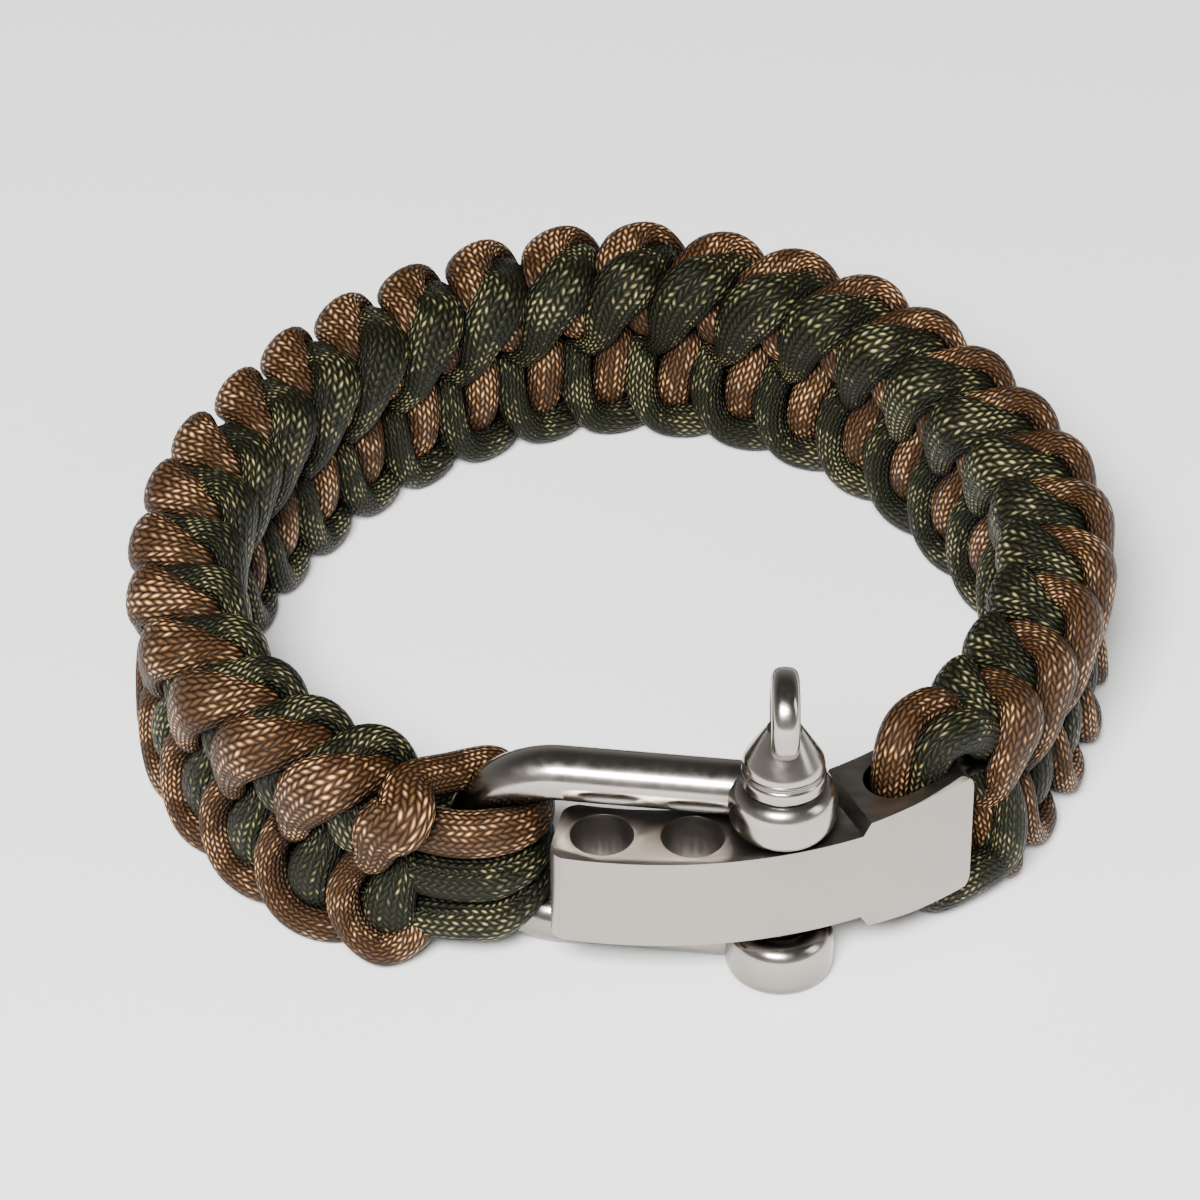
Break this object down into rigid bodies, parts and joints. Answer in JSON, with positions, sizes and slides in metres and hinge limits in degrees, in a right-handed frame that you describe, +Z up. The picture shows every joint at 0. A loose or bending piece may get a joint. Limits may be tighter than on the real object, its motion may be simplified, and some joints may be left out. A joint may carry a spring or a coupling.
{
  "type": "paracord bracelet",
  "caption": "Woven cord bracelet in brown and olive, closed by a D-shackle whose screw pin goes through a curved bar with spare holes.",
  "frame": {"origin": "on the surface the bracelet lies on, below the middle of its overall box", "axes": "+Z up through the wrist opening, +X from the shackle's closed end towards the slotted end of the bar, +Y from the shackle to the back of the ring"},
  "size_m": [0.0872, 0.0908, 0.0311],
  "materials": {
    "cord_brown": "braided nylon sheath, brown with paler glints",
    "cord_olive": "braided nylon sheath, dark olive with paler glints",
    "steel_polished": "stainless steel, polished",
    "steel_satin": "stainless steel, fine satin on the outer side"
  },
  "bodies": {
    "root": {"woven_band": "cord_brown", "bow_loop_upper": "cord_brown", "bow_loop_middle": "cord_olive", "bow_loop_lower": "cord_olive", "bar_loop_inner": "cord_brown", "bar_loop_outer": "cord_olive", "shackle_bow": "steel_polished", "shackle_pin": "steel_polished", "adjuster_bar": "steel_satin"}
  },
  "joints": []
}
